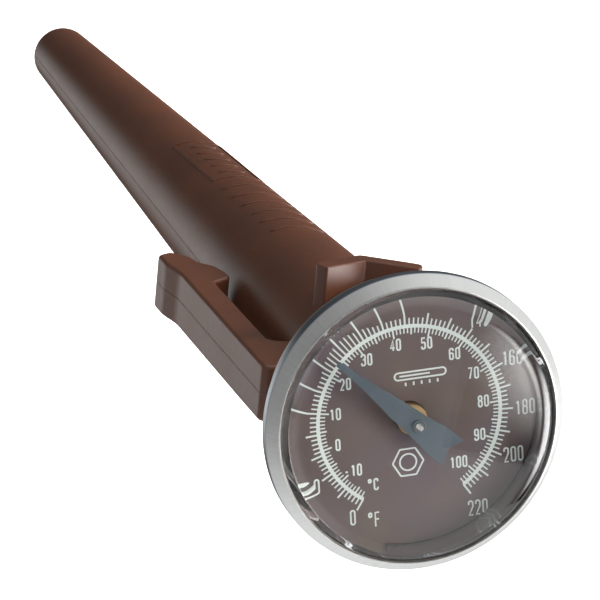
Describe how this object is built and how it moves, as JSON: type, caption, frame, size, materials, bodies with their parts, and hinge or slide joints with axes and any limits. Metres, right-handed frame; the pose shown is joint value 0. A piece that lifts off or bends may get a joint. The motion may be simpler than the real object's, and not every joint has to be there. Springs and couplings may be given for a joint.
{
  "type": "dial thermometer",
  "caption": "Pocket probe thermometer with a round dial on a thin stem, held in a tapered clip-on sheath that doubles as a calibration wrench.",
  "frame": {"origin": "on the stem's axis, at the lower face of the calibration nut, where the bare stem starts", "axes": "+Z along the stem from its tip up to the dial, -X towards the pocket clip, +Y towards the wrench cradle"},
  "size_m": [0.0278, 0.0278, 0.1469],
  "materials": {
    "sheath_plastic": "dark brown moulded polypropylene, satin",
    "case_steel": "satin brushed stainless",
    "stem_steel": "fine drawn stainless, satin",
    "nut_steel": "turned stainless",
    "brass": "turned brass",
    "bimetal": "rolled bimetal strip",
    "seal_rubber": "matt black rubber",
    "dial_face": "mauve brown anodised plate with pale print",
    "spacer_plastic": "white moulded plastic",
    "clear_plastic": "clear polished plastic",
    "gasket": "pale translucent gasket",
    "pointer_metal": "blued matt metal",
    "shaft_steel": "bright drawn wire"
  },
  "bodies": {
    "sheath": {"sheath": "sheath_plastic"},
    "clip": {"pocket_clip": "sheath_plastic"},
    "stem": {"stem_tube": "stem_steel", "stem_tip": "stem_steel", "calibration_nut": "nut_steel", "stem_seal": "seal_rubber", "friction_washer": "case_steel", "retaining_ring": "case_steel", "upper_guide": "brass", "lower_guide": "brass", "coil_anchor": "brass", "bimetal_coil": "bimetal"},
    "head": {"head_case": "case_steel", "dial_spacer": "spacer_plastic", "dial_plate": "dial_face", "lens": "clear_plastic", "lens_gasket": "gasket", "bezel_ring": "case_steel"},
    "pointer": {"pointer": "pointer_metal", "pointer_hub": "pointer_metal", "pointer_shaft": "shaft_steel", "coil_collar": "brass"}
  },
  "joints": [
    {"name": "stem_slide", "type": "slide", "parent": "sheath", "child": "stem", "axis": [0, 0, 1], "range_m": [0, 0.135]},
    {"name": "head_turn", "type": "hinge", "parent": "stem", "child": "head", "pos_m": [0, 0, 0.0043], "axis": [0, 0, 1], "continuous": true},
    {"name": "pointer_turn", "type": "hinge", "parent": "stem", "child": "pointer", "pos_m": [0, 0, 0.0105], "axis": [0, 0, 1], "range_deg": [-196, 105], "stiffness_Nm_per_rad": 0.0002, "deforming": ["bimetal_coil"]},
    {"name": "clip_flex", "type": "hinge", "parent": "sheath", "child": "clip", "pos_m": [-0.0107, 0, -0.0075], "axis": [0, 1, 0], "range_deg": [0, 5], "stiffness_Nm_per_rad": 1}
  ]
}
